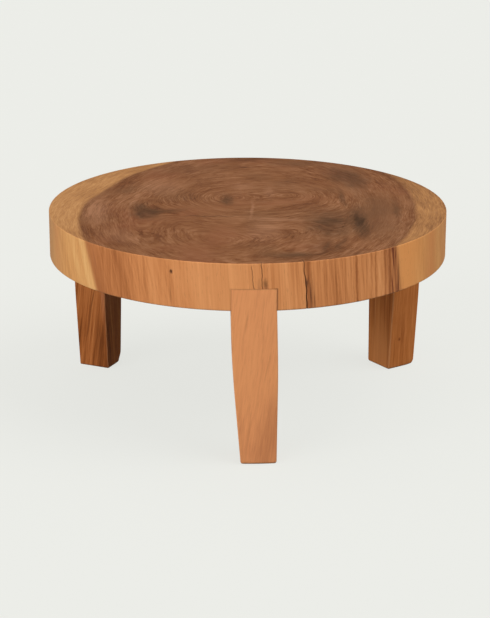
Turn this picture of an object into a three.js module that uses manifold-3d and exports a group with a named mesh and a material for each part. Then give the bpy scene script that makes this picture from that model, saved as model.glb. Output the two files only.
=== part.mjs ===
// Low round table.
// A thick slab, sawn across a tree trunk, stands on three square legs.
// Each leg is let into a housing cut in the slab's rim and underside, flush with the rim,
// and two fluted dowels, upright in the leg's top, hold it there.
// Millimetres, +Z up, the origin on the floor below the slab's centre, the front leg towards -Y.

import * as THREE from 'three';
import { mergeVertices } from 'three/addons/utils/BufferGeometryUtils.js';
import Module from 'manifold-3d';

const wasm = await Module();
wasm.setup();

// Table
const tableHeight = 400;
const slabRadius = 400;
const slabThickness = 93;
const slabTopRound = 3;
const slabUnderRound = 3;

// Legs, across at the rim, and from the rim inwards
const frontLegWidth = 86;
const frontLegDepth = 72;
const leftLegWidth = 80;
const leftLegDepth = 70;
const rightLegWidth = 88;
const rightLegDepth = 75;
const housingHeight = 43;
const legEdgeRound = 3;
const footRound = 5;

// Tapers: straight down to the knee, then drawn in by this much at the floor
const kneeHeight = 186;
const kneeBlend = 45;
const outerTaper = 3;
const frontLegLeftTaper = 11;
const frontLegRightTaper = 6.5;
const leftLegLeftTaper = 9.5;
const leftLegRightTaper = 11.5;
const rightLegLeftTaper = 13.5;
const rightLegRightTaper = 2.5;

// Layout by eye: degrees off an even third, degrees that a leg is turned on its own axis,
// and how far a leg's foot stands to the right of its top
const frontLegAngle = 1.7;
const leftLegAngle = 0.4;
const rightLegAngle = -0.3;
const rearLegAngle = 5;
const frontLegLean = 7.3;

// Dowels
const dowelDiameter = 12;
const dowelSpacing = 44;
const dowelCover = 18;
const dowelChamfer = 1.5;
const fluteDepth = 0.5;

// Clearances, and the overrun of every cut past what it cuts
const housingClearance = 0.3;
const dowelClearance = 0.3;
const dowelEndRoom = 0.9;
const overrun = 10;

// Facets
const rimFacets = 120;
const roundFacets = 4;
const cornerFacets = 3;
const kneeRings = 5;
const holeFacets = 24;
const fluteCount = 12;
const pointsPerFlute = 4;

// Places worked out from the sizes
const underside = tableHeight - slabThickness;
const legTop = underside + housingHeight;
const housingTop = legTop + housingClearance;
const dowelReach = tableHeight - dowelCover - dowelEndRoom - housingTop;
const dowelTop = housingTop + dowelReach;
const dowelBottom = legTop - dowelReach;
const angleBetweenLegs = 120;

const legs = [
  {
    name: 'front_leg',
    width: frontLegWidth,
    depth: frontLegDepth,
    azimuth: frontLegAngle,
    turn: 0,
    lean: frontLegLean,
    leftTaper: frontLegLeftTaper,
    rightTaper: frontLegRightTaper,
  },
  {
    name: 'left_leg',
    width: leftLegWidth,
    depth: leftLegDepth,
    azimuth: leftLegAngle - angleBetweenLegs,
    turn: rearLegAngle,
    lean: 0,
    leftTaper: leftLegLeftTaper,
    rightTaper: leftLegRightTaper,
  },
  {
    name: 'right_leg',
    width: rightLegWidth,
    depth: rightLegDepth,
    azimuth: rightLegAngle + angleBetweenLegs,
    turn: rearLegAngle,
    lean: 0,
    leftTaper: rightLegLeftTaper,
    rightTaper: rightLegRightTaper,
  },
];

// Finishes, as oiled wood
const slabWood = { color: 0x8a5a3a, roughness: 0.55, metalness: 0 };
const legWood = { color: 0xb87645, roughness: 0.6, metalness: 0 };
const dowelWood = { color: 0xd9bd8f, roughness: 0.7, metalness: 0 };

// A closed geometry as a solid that can be joined and cut
function toSolid(geometry) {
  geometry.deleteAttribute('normal');
  geometry.deleteAttribute('uv');
  const merged = mergeVertices(geometry);
  const corners = merged.index.array;
  const triangles = [];
  for (let i = 0; i < corners.length; i += 3) {
    const [a, b, c] = [corners[i], corners[i + 1], corners[i + 2]];
    if (a !== b && b !== c && c !== a) triangles.push(a, b, c);
  }
  return new wasm.Manifold(new wasm.Mesh({
    numProp: 3,
    vertProperties: new Float32Array(merged.attributes.position.array),
    triVerts: new Uint32Array(triangles),
  }));
}

// A solid as a named mesh with its own material
function toMesh(name, solid, finish) {
  const { vertProperties, triVerts } = solid.getMesh();
  const geometry = new THREE.BufferGeometry();
  geometry.setAttribute('position', new THREE.BufferAttribute(vertProperties, 3));
  geometry.setIndex(new THREE.BufferAttribute(triVerts, 1));
  geometry.computeVertexNormals();
  const mesh = new THREE.Mesh(geometry, new THREE.MeshStandardMaterial(finish));
  mesh.name = name;
  return mesh;
}

// A solid turned about the upright axis from an outline of [radius, height] points on the axis
function turned(outline, facets) {
  const points = outline.map(([radius, height]) => new THREE.Vector2(radius, height));
  return toSolid(new THREE.LatheGeometry(points, facets).rotateX(Math.PI / 2));
}

// Points of a quarter round about a centre, from one angle in degrees to another
function quarterRound(centreX, centreY, radius, from, to) {
  const points = [];
  for (let i = 0; i <= roundFacets; i += 1) {
    const angle = THREE.MathUtils.degToRad(THREE.MathUtils.lerp(from, to, i / roundFacets));
    points.push([centreX + radius * Math.cos(angle), centreY + radius * Math.sin(angle)]);
  }
  return points;
}

// How far a face with this taper is drawn in at a height: none above the knee,
// even below it, and a parabola between the two
function drawnIn(taper, height) {
  const below = kneeHeight - height;
  if (below <= -kneeBlend) return 0;
  if (below >= kneeBlend) return taper * below / kneeHeight;
  return taper * (below + kneeBlend) ** 2 / (4 * kneeBlend * kneeHeight);
}

// How far the rounded foot is drawn in at a height
function footDrawnIn(height) {
  if (height >= footRound) return 0;
  return footRound - Math.sqrt(footRound ** 2 - (footRound - height) ** 2);
}

// How far a leaning leg has moved aside at a height: not at all in its housing
function leanedOver(lean, height) {
  return lean * Math.max(0, underside - height) / underside;
}

// Heights of the rings that shape a leg: the foot's round, the knee, the slab's underside
// and the top
function ringHeights(top) {
  const heights = [];
  for (let i = 0; i <= roundFacets; i += 1) {
    heights.push(footRound * (1 - Math.cos(Math.PI / 2 * i / roundFacets)));
  }
  for (let i = 0; i <= kneeRings; i += 1) {
    heights.push(kneeHeight - kneeBlend + 2 * kneeBlend * i / kneeRings);
  }
  heights.push(underside, top);
  return heights;
}

// A rectangle with round corners, from left to right and from near to far
function roundedSection(left, right, near, far, radius) {
  const section = new THREE.Shape();
  const quarter = Math.PI / 2;
  section.absarc(left + radius, near + radius, radius, 2 * quarter, 3 * quarter);
  section.absarc(right - radius, near + radius, radius, -quarter, 0);
  section.absarc(right - radius, far - radius, radius, 0, quarter);
  section.absarc(left + radius, far - radius, radius, quarter, 2 * quarter);
  section.closePath();
  return section;
}

// Puts a solid made at the leg's own centre, facing -Y, where the leg stands
function stand(geometry, leg) {
  return geometry
    .rotateZ(THREE.MathUtils.degToRad(leg.turn))
    .translate(0, leg.depth / 2 - slabRadius, 0)
    .rotateZ(THREE.MathUtils.degToRad(leg.azimuth));
}

// A leg before its outer face is dressed: a square section, one unit to a ring,
// whose rings are raised to their heights and drawn in by the tapers and the foot's round
function legBlank(leg) {
  const heights = ringHeights(legTop + overrun);
  const section = roundedSection(
    -leg.width / 2, leg.width / 2, -leg.depth / 2 - overrun, leg.depth / 2, legEdgeRound);
  const blank = new THREE.ExtrudeGeometry(section, {
    depth: heights.length - 1,
    steps: heights.length - 1,
    bevelEnabled: false,
    curveSegments: cornerFacets,
  });
  const place = blank.attributes.position;
  for (let i = 0; i < place.count; i += 1) {
    const height = heights[Math.round(place.getZ(i))];
    const side = Math.sign(place.getX(i));
    const taper = side < 0 ? leg.leftTaper : leg.rightTaper;
    const inwards = drawnIn(taper, height) + footDrawnIn(height);
    place.setX(i, place.getX(i) - side * inwards + leanedOver(leg.lean, height));
    if (place.getY(i) > 0) place.setY(i, place.getY(i) - footDrawnIn(height));
    place.setZ(i, height);
  }
  return toSolid(stand(blank, leg));
}

// The round body that the legs' outer faces are dressed to: the rim carried down to the floor,
// drawn in below the knee and rounded at the foot, and level with the legs' tops
function outerEnvelope() {
  const side = ringHeights(legTop).map((height) => [
    slabRadius - drawnIn(outerTaper, height) - footDrawnIn(height),
    height,
  ]);
  return turned([[0, 0], ...side, [0, legTop]], rimFacets);
}

// What is cut out of the slab for a leg: the leg's own section and the clearance round it
function housing(leg) {
  const section = roundedSection(
    -leg.width / 2 - housingClearance,
    leg.width / 2 + housingClearance,
    -leg.depth / 2 - overrun,
    leg.depth / 2 + housingClearance,
    legEdgeRound + housingClearance);
  const cut = new THREE.ExtrudeGeometry(section, {
    depth: housingTop - underside + overrun,
    bevelEnabled: false,
    curveSegments: cornerFacets,
  });
  return toSolid(stand(cut.translate(0, 0, underside - overrun), leg));
}

// The bore for one dowel, half in the leg and half in the slab
function dowelBore(leg, side) {
  const height = dowelTop - dowelBottom + 2 * dowelEndRoom;
  const radius = dowelDiameter / 2 + dowelClearance;
  const bore = new THREE.CylinderGeometry(radius, radius, height, holeFacets)
    .rotateX(Math.PI / 2)
    .translate(side * dowelSpacing / 2, 0, (dowelTop + dowelBottom) / 2);
  return toSolid(stand(bore, leg));
}

// A dowel with flutes for the glue and chamfered ends
function dowel(leg, side) {
  const section = new THREE.Shape();
  const pointCount = fluteCount * pointsPerFlute;
  for (let i = 0; i < pointCount; i += 1) {
    const angle = 2 * Math.PI * i / pointCount;
    const radius = dowelDiameter / 2 - (i % pointsPerFlute === 0 ? fluteDepth : 0);
    const point = new THREE.Vector2(radius, 0).rotateAround(new THREE.Vector2(), angle);
    if (i === 0) section.moveTo(point.x, point.y);
    else section.lineTo(point.x, point.y);
  }
  section.closePath();
  const pin = new THREE.ExtrudeGeometry(section, {
    depth: dowelTop - dowelBottom - 2 * dowelChamfer,
    bevelSegments: 1,
    bevelThickness: dowelChamfer,
    bevelSize: dowelChamfer,
    bevelOffset: -dowelChamfer,
  });
  pin.translate(side * dowelSpacing / 2, 0, dowelBottom + dowelChamfer);
  return toSolid(stand(pin, leg));
}

// The slab, turned with an eased rim
function slabDisc() {
  const outline = [
    [0, underside],
    ...quarterRound(slabRadius - slabUnderRound, underside + slabUnderRound, slabUnderRound, -90, 0),
    ...quarterRound(slabRadius - slabTopRound, tableHeight - slabTopRound, slabTopRound, 0, 90),
    [0, tableHeight],
  ];
  return turned(outline, rimFacets);
}

const table = new THREE.Group();
const envelope = outerEnvelope();
const sides = { left: -1, right: 1 };
let slab = slabDisc();

for (const leg of legs) {
  let body = legBlank(leg).intersect(envelope);
  slab = slab.subtract(housing(leg));
  for (const [sideName, side] of Object.entries(sides)) {
    const bore = dowelBore(leg, side);
    body = body.subtract(bore);
    slab = slab.subtract(bore);
    table.add(toMesh(`${leg.name}_dowel_${sideName}`, dowel(leg, side), dowelWood));
  }
  table.add(toMesh(leg.name, body, legWood));
}
table.add(toMesh('slab_top', slab, slabWood));

export default table;
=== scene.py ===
"""Low round table of solid wood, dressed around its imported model.

A thick slab, sawn across a tree trunk, stands on three square legs that are let into its rim.
The slab and the legs are made here in their fine shape, with eased edges, joint lines and drying
checks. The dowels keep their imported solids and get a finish.
Metres, +Z up, the origin on the floor below the slab's centre, the front leg towards -Y.
Azimuths are in degrees, from -Y towards +X.
"""

import logging
import math
from dataclasses import dataclass
from enum import Enum
from typing import Any, Callable, Optional, Sequence, Union

import bmesh
import bpy
from mathutils import Euler, Matrix, Vector, noise


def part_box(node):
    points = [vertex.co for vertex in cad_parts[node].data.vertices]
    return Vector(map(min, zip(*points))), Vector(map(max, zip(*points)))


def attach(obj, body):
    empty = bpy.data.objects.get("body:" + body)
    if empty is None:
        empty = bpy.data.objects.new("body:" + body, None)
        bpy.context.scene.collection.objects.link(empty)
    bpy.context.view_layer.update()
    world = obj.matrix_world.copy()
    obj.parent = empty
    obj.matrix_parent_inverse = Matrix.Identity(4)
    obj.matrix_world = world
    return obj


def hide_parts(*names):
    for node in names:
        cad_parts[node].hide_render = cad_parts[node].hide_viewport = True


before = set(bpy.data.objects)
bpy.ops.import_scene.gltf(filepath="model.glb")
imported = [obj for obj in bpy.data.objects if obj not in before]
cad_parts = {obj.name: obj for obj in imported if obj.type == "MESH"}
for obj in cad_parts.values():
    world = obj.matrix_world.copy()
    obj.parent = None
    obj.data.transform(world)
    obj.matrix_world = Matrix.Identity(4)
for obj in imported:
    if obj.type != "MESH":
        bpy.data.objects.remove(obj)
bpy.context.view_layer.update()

MM = 0.001
IN_PLAN = (1, 1, 0)
MERGE_DISTANCE = 0.001 * MM
SHARP_EDGE = math.radians(50)
SPECULAR_LEVEL = 0.04
ROOT = "root"
SLAB_NODE = "slab_top"
SLAB_LOW, SLAB_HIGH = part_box(SLAB_NODE)
RIM_RADIUS = (SLAB_HIGH.x - SLAB_LOW.x) / 2
THICKNESS = SLAB_HIGH.z - SLAB_LOW.z
SIDES = ("left", "right")

log = logging.getLogger("low_table")

Wire = Union["Value", float, Sequence[float]]
Colour = tuple[int, int, int]
Stop = tuple[float, Colour]
# Where a fade starts and ends, and its values there where they aren't 0 and 1.
Fade = tuple[float, ...]
# A wandering pattern's bends to the metre, their reach and, where it isn't 2, their detail.
Waves = tuple[float, ...]
Shape = bmesh.types.BMesh
Piece = bpy.types.Object


class Slot(Enum):
    """The record's material slots."""

    SLAB = "slab_wood"
    LEG = "leg_wood"
    DOWEL = "dowel_wood"


class Cut(Enum):
    """Which way a surface cuts the trunk."""

    END_GRAIN = "across the trunk"
    LONG_GRAIN = "along the trunk"


class Effect(Enum):
    """The node groups that more than one finish uses."""

    RINGS = "growth ring lines"
    FIBRE = "fibre"
    PORES = "pores"
    EASED_EDGE = "eased edge"
    JOINT_LINE = "joint line"
    SPOT = "spot"


def linear(colour: Colour) -> tuple[float, float, float, float]:
    """Turns a colour as it is seen into the shader's linear values.

    Args:
        colour: Red, green and blue from 0 to 255.

    Returns:
        Red, green, blue and alpha, linear, from 0 to 1.
    """

    def channel(value: int) -> float:
        """Returns one linear channel."""
        share = value / 255
        return share / 12.92 if share <= 0.04045 else ((share + 0.055) / 1.055) ** 2.4

    red, green, blue = (channel(value) for value in colour)
    return red, green, blue, 1.0


def metres(*lengths: float) -> tuple[float, ...]:
    """Returns lengths that are given in mm."""
    return tuple(length * MM for length in lengths)


class Value:
    """An output in a node tree. Sums and products with it add the nodes that work them out."""

    def __init__(self, graph: "Graph", socket: bpy.types.NodeSocket) -> None:
        """Takes the graph and the output."""
        self.graph = graph
        self.socket = socket

    def __add__(self, other: Wire) -> "Value":
        """Returns the sum."""
        return self.graph.work_out("ADD", self, other)

    def __sub__(self, other: Wire) -> "Value":
        """Returns the difference."""
        return self.graph.work_out("SUBTRACT", self, other)

    def __rsub__(self, other: Wire) -> "Value":
        """Returns the difference from a constant."""
        return self.graph.work_out("SUBTRACT", other, self)

    def __mul__(self, other: Wire) -> "Value":
        """Returns the product, where a vector times a value is scaled."""
        return self.graph.work_out("MULTIPLY", self, other)

    def __abs__(self) -> "Value":
        """Returns the value without its sign."""
        return self.graph.work_out("ABSOLUTE", self)

    def siblings(self) -> dict[str, "Value"]:
        """Returns all the outputs of its node by name."""
        return {output.name: Value(self.graph, output) for output in self.socket.node.outputs}

    __radd__ = __add__
    __rmul__ = __mul__


class Graph:
    """Wires one node tree, with a short method for each kind of node that the finishes use."""

    def __init__(self, tree: bpy.types.NodeTree) -> None:
        """Takes the tree of a material, a world or a group."""
        self.tree = tree

    def feed(self, socket: bpy.types.NodeSocket, value: Wire) -> None:
        """Links an output into a socket, or sets the socket's constant.

        Args:
            socket: The input to feed.
            value: An output or a constant.
        """
        if isinstance(value, Value):
            self.tree.links.new(value.socket, socket)
        else:
            socket.default_value = value

    def node(
        self, kind: str, inputs: dict[Any, Wire], output: Union[int, str] = 0, **settings: Any
    ) -> Value:
        """Adds a shader node.

        Args:
            kind: The node's type name, without its prefix.
            inputs: What its inputs get, by name or number.
            output: The name or number of the output to return.
            **settings: Properties to set on it first.

        Returns:
            The output.
        """
        node = self.tree.nodes.new(f"ShaderNode{kind}")
        for name, value in settings.items():
            setattr(node, name, value)
        for name, value in inputs.items():
            self.feed(node.inputs[name], value)
        return Value(self, node.outputs[output])

    def work_out(self, operation: str, *terms: Wire) -> Value:
        """Adds a Math node, or a Vector Math node where a term is a vector or a colour.

        Args:
            operation: The node's operation.
            *terms: Its inputs, a vector before the value that scales it.

        Returns:
            The result.
        """
        vectors = [
            term.socket.type in ("VECTOR", "RGBA") if isinstance(term, Value) else isinstance(term, tuple)
            for term in terms
        ]
        if not any(vectors):
            return self.math(operation, *terms)
        if operation == "MULTIPLY" and not all(vectors):
            return self.node("VectorMath", {0: terms[0], "Scale": terms[1]}, operation="SCALE")
        return self.node("VectorMath", dict(enumerate(terms)), operation=operation)

    def math(self, operation: str, *terms: Wire) -> Value:
        """Returns the result of a Math node."""
        return self.node("Math", dict(enumerate(terms)), operation=operation)

    def distance(self, a: Wire, b: Wire = (0, 0, 0)) -> Value:
        """Returns the distance between two places, or a vector's length."""
        return self.node("VectorMath", {0: a, 1: b}, "Value", operation="DISTANCE")

    def blend(self, share: Wire, a: Wire, b: Wire) -> Value:
        """Returns a value with a share of another mixed in."""
        return self.node("Mix", {0: share, 2: a, 3: b}, data_type="FLOAT")

    def mix(self, share: Wire, a: Wire, b: Wire) -> Value:
        """Returns a colour with a share of another mixed in."""
        return self.node("Mix", {0: share, 6: a, 7: b}, 2, data_type="RGBA", clamp_factor=True)

    def tint(self, colour: Wire, tint: Colour, share: Wire) -> Value:
        """Returns a colour with a share of a plain one mixed in."""
        return self.mix(share, colour, linear(tint))

    def fade(self, value: Wire, start: Wire, end: Wire, low: Wire = 0.0, high: Wire = 1.0) -> Value:
        """Returns a smooth step from low at start to high at end, which may lie below start."""
        terms = enumerate((value, start, end, low, high))
        return self.node("MapRange", dict(terms), interpolation_type="SMOOTHSTEP")

    def split(self, vector: Wire) -> tuple[Value, ...]:
        """Returns a vector's X, Y and Z."""
        return tuple(self.node("SeparateXYZ", {0: vector}).siblings().values())

    def join(self, x: Wire = 0.0, y: Wire = 0.0, z: Wire = 0.0) -> Value:
        """Returns the vector of three values."""
        return self.node("CombineXYZ", {0: x, 1: y, 2: z})

    def place(
        self,
        vector: Wire,
        centre: Sequence[float] = (0, 0, 0),
        turn: float = 0.0,
        spread: Sequence[float] = (1, 1, 1),
        tilt: Sequence[float] = (0, 0),
    ) -> Value:
        """Reads a place in a pattern's own axes, by a Mapping node.

        Args:
            vector: The place on the piece.
            centre: The pattern's centre on the piece.
            turn: How far the pattern is turned about Z, in radians.
            spread: The pattern's size along its own axes.
            tilt: How far it is turned about X and Y.

        Returns:
            The place in the pattern.
        """
        inputs = {"Vector": vector, "Location": centre, "Rotation": (*tilt, turn), "Scale": spread}
        return self.node("Mapping", inputs, vector_type="TEXTURE")

    def tone(
        self,
        place: Wire,
        scale: Wire,
        detail: float = 2.0,
        roughness: float = 0.5,
        w: Optional[Wire] = None,
    ) -> Value:
        """Reads a noise.

        Args:
            place: Where it is read.
            scale: Features to the metre.
            detail: Octaves above the first.
            roughness: How strong the finer octaves are.
            w: The fourth coordinate, where it has one.

        Returns:
            The noise, about 0.
        """
        inputs = {"Vector": place, "Scale": scale, "Detail": detail, "Roughness": roughness}
        if w is None:
            return self.node("TexNoise", inputs, noise_dimensions="3D") - 0.5
        return self.node("TexNoise", {**inputs, "W": w}, noise_dimensions="4D") - 0.5

    def wander(self, place: Wire, scale: float, reach: float, detail: float = 2.0) -> Value:
        """Makes steps that carry a place to and fro.

        Args:
            place: The place.
            scale: Bends to the metre.
            reach: How far the steps go.
            detail: Octaves above the first.

        Returns:
            The step at that place, a vector about 0.
        """
        inputs = {"Vector": place, "Scale": scale, "Detail": detail, "Roughness": 0.5}
        return (self.node("TexNoise", inputs, "Color") - (0.5, 0.5, 0.5)) * reach

    def ramp(self, value: Wire, stops: Sequence[Stop]) -> Value:
        """Adds a Color Ramp.

        Args:
            value: The value that is read.
            stops: Places from 0 to 1, each with its colour as seen.

        Returns:
            The colour.
        """
        colour = self.node("ValToRGB", {0: value})
        elements = colour.socket.node.color_ramp.elements
        while len(elements) < len(stops):
            elements.new(1.0)
        for element, (position, seen) in zip(elements, stops):
            element.position = position
            element.color = linear(seen)
        return colour

    def use(self, effect: Effect, **inputs: Wire) -> dict[str, Value]:
        """Places a node group.

        Args:
            effect: The group.
            **inputs: Its inputs by name, with _ for a space.

        Returns:
            Its outputs by name.
        """
        named = {name.replace("_", " "): value for name, value in inputs.items()}
        return self.node("Group", named, node_tree=bpy.data.node_groups[effect.value]).siblings()

    def spot(self, place: Wire, ragged: float) -> Value:
        """Returns the mask of a soft, ragged spot round the origin of a pattern's own axes."""
        return self.use(Effect.SPOT, Position=place, Ragged=ragged)["Mask"]


class Paint(Graph):
    """The graph of a new material that has its own Principled shader."""

    def __init__(self, name: str) -> None:
        """Starts the material.

        Args:
            name: Its name.
        """
        self.material = bpy.data.materials.new(name)
        self.material.use_nodes = True
        super().__init__(self.material.node_tree)
        self.shader = next(node for node in self.tree.nodes if node.type == "BSDF_PRINCIPLED")
        self.shader.inputs["Specular IOR Level"].default_value = SPECULAR_LEVEL
        self.position = self.node("TexCoord", {}, "Object")

    def on_eased_edges(self, colour: Wire, normal: Wire, pale: Colour, share: float) -> Value:
        """Returns a colour with a share of a paler one on the edges, where the normal leans: a painted
        highlight with some real wear.
        """
        return self.tint(colour, pale, self.use(Effect.EASED_EDGE, Normal=normal)["Mask"] * share)

    def dress(
        self,
        colour: Wire,
        roughness: Wire,
        height: Wire,
        strength: float = 0.35,
        depth: float = 0.25 * MM,
    ) -> bpy.types.Material:
        """Feeds the shader.

        Args:
            colour: The base colour.
            roughness: The roughness.
            height: The relief, about 0.
            strength: How much of the relief counts.
            depth: How deep a height of 1 is.

        Returns:
            The material.
        """
        normal = self.node("Bump", {"Strength": strength, "Distance": depth, "Height": height})
        for name, value in (("Base Color", colour), ("Roughness", roughness), ("Normal", normal)):
            self.feed(self.shader.inputs[name], value)
        return self.material


class SharedEffects:
    """The node groups that more than one finish uses, each built once."""

    def __init__(self) -> None:
        """Builds every group."""
        self._rings()
        self._fibre()
        self._pores()
        self._eased_edge()
        self._joint_line()
        self._spot()

    @staticmethod
    def _start(
        effect: Effect, inputs: dict[str, Any], *outputs: str
    ) -> tuple[Graph, list[Value], list[bpy.types.NodeSocket]]:
        """Starts a group with its sockets.

        Args:
            effect: The group.
            inputs: Each input's first value by name, a float or a vector.
            *outputs: The names of its outputs, which are values.

        Returns:
            The group's graph, its inputs and the sockets of its outputs, in their order.
        """
        tree = bpy.data.node_groups.new(effect.value, "ShaderNodeTree")
        for name, value in inputs.items():
            kind = "NodeSocketFloat" if isinstance(value, float) else "NodeSocketVector"
            tree.interface.new_socket(name, in_out="INPUT", socket_type=kind).default_value = value
        for name in outputs:
            tree.interface.new_socket(name, in_out="OUTPUT", socket_type="NodeSocketFloat")
        graph = Graph(tree)
        sockets = tree.nodes.new("NodeGroupInput").outputs
        result = tree.nodes.new("NodeGroupOutput").inputs
        return graph, [Value(graph, sockets[name]) for name in inputs], [result[name] for name in outputs]

    def _rings(self) -> None:
        """Builds the growth rings' tones about 0: broad bands, lines and fine lines.

        It reads how far out in the trunk a place is, its plan and how high it is.
        """
        tones = {"Bands": (40.0, 0.15, 2.0), "Lines": (150.0, 0.09, 3.0), "Fine": (520.0, 0.08, 2.0)}
        inputs = {f"{name} Scale": scale for name, (scale, _, _) in tones.items()}
        graph, (radius, plan, height, *scales), results = self._start(
            Effect.RINGS, {"Radius": 0.0, "Place": (0, 0, 0), "Height": 0.0, **inputs}, *tones
        )
        drift = height * 0.015
        for (_, along, detail), scale, result in zip(tones.values(), scales, results):
            x, y, _ = graph.split(plan * along)
            graph.feed(result, graph.tone(graph.join(radius, x, y), scale, detail, 0.6, drift))

    def _fibre(self) -> None:
        """Builds the fibres along Z of the place given: a tone and a height for the bump, about 0."""
        graph, (place, scale, stretch), (tone, height) = self._start(
            Effect.FIBRE, {"Position": (0, 0, 0), "Scale": 300.0, "Stretch": 0.03}, "Tone", "Height"
        )
        x, y, z = graph.split(place)
        along = graph.join(x, y, z * stretch)
        coarse = graph.tone(along, scale, 3.0, 0.6)
        graph.feed(tone, coarse)
        graph.feed(height, coarse + graph.tone(along, scale * 3.1))

    def _pores(self) -> None:
        """Builds the mask of the open pores, dots across the trunk and dashes along it."""
        graph, (place, scale, stretch, size), (mask,) = self._start(
            Effect.PORES,
            {"Position": (0, 0, 0), "Scale": 420.0, "Stretch": 0.08, "Size": 0.16},
            "Mask",
        )
        x, y, z = graph.split(place)
        cells = {"Vector": graph.join(x, y, z * stretch), "Scale": scale}
        away = graph.node("TexVoronoi", cells, "Distance", feature="F1")
        graph.feed(mask, graph.fade(away, size, size * 0.4))

    def _eased_edge(self) -> None:
        """Builds the mask of the eased edges, from the normal in the piece's own axes."""
        graph, (normal,), (mask,) = self._start(Effect.EASED_EDGE, {"Normal": (0, 0, 1)}, "Mask")
        x, y, z = graph.split(abs(normal))
        largest = graph.math("MAXIMUM", graph.math("MAXIMUM", x, y), z)
        graph.feed(mask, graph.fade(largest, 0.985, 0.85))

    def _joint_line(self) -> None:
        """Builds the mask of the thin dark line along a joint, glue and dust staining with painted shade
        in the gap, in its own axes.
        """
        graph, (place, half, width), (mask,) = self._start(
            Effect.JOINT_LINE,
            {"Position": (0, 0, 0), "Half Size": (0.04, 0.04, 0.04), "Width": 0.0024},
            "Mask",
        )
        ragged = graph.tone(place, 160.0, 3.0, 0.6) * (1.5 * MM)
        x, y, z = graph.split(abs(place) - half)
        past = graph.math("MAXIMUM", graph.math("MAXIMUM", x, y), z)
        graph.feed(mask, graph.fade(abs(past + ragged), width, 0.0))

    def _spot(self) -> None:
        """Builds the mask of one soft, ragged spot, in its own axes and size."""
        graph, (place, ragged), (mask,) = self._start(
            Effect.SPOT, {"Position": (0, 0, 0), "Ragged": 0.5}, "Mask"
        )
        edge = graph.tone(place, 2.2, 4.0, 0.6) * ragged
        graph.feed(mask, graph.fade(graph.distance(place) + edge, 1.0, 0.1))


@dataclass(frozen=True)
class Spot:
    """A spot in the end grain: its middle and half its size in mm, its turn in degrees."""

    x: float
    y: float
    half_x: float
    half_y: float
    turn: float
    strength: float


@dataclass(frozen=True)
class Pith:
    """A middle of the forked trunk, round which the rings close, and its blurred core, in mm."""

    x: float
    y: float
    blur: float
    weight: float


@dataclass(frozen=True)
class RimBand:
    """An upright band in the rim's grain, by its degrees from the middle of the front."""

    azimuth: float
    half_width: float
    tone: float


@dataclass(frozen=True)
class SapBand(RimBand):
    """An upright band of another colour in the rim's sapwood, whose tone is its share."""

    colour: Colour


@dataclass(frozen=True)
class RimMark:
    """A dark mark on the rim, by degrees from the front, share of the rim's height and mm."""

    azimuth: float
    height_share: float
    half_width: float
    half_height: float
    strength: float


@dataclass(frozen=True)
class TrunkPlace:
    """Where a point lies in the trunk, as outputs that the slab's patterns read."""

    upright: Value
    plan: Value
    stirred: Value
    azimuth: Value
    rim: Value
    heart_reach: Value
    heart_line: Value
    rings: dict[str, Value]
    fibre: dict[str, Value]


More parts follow.
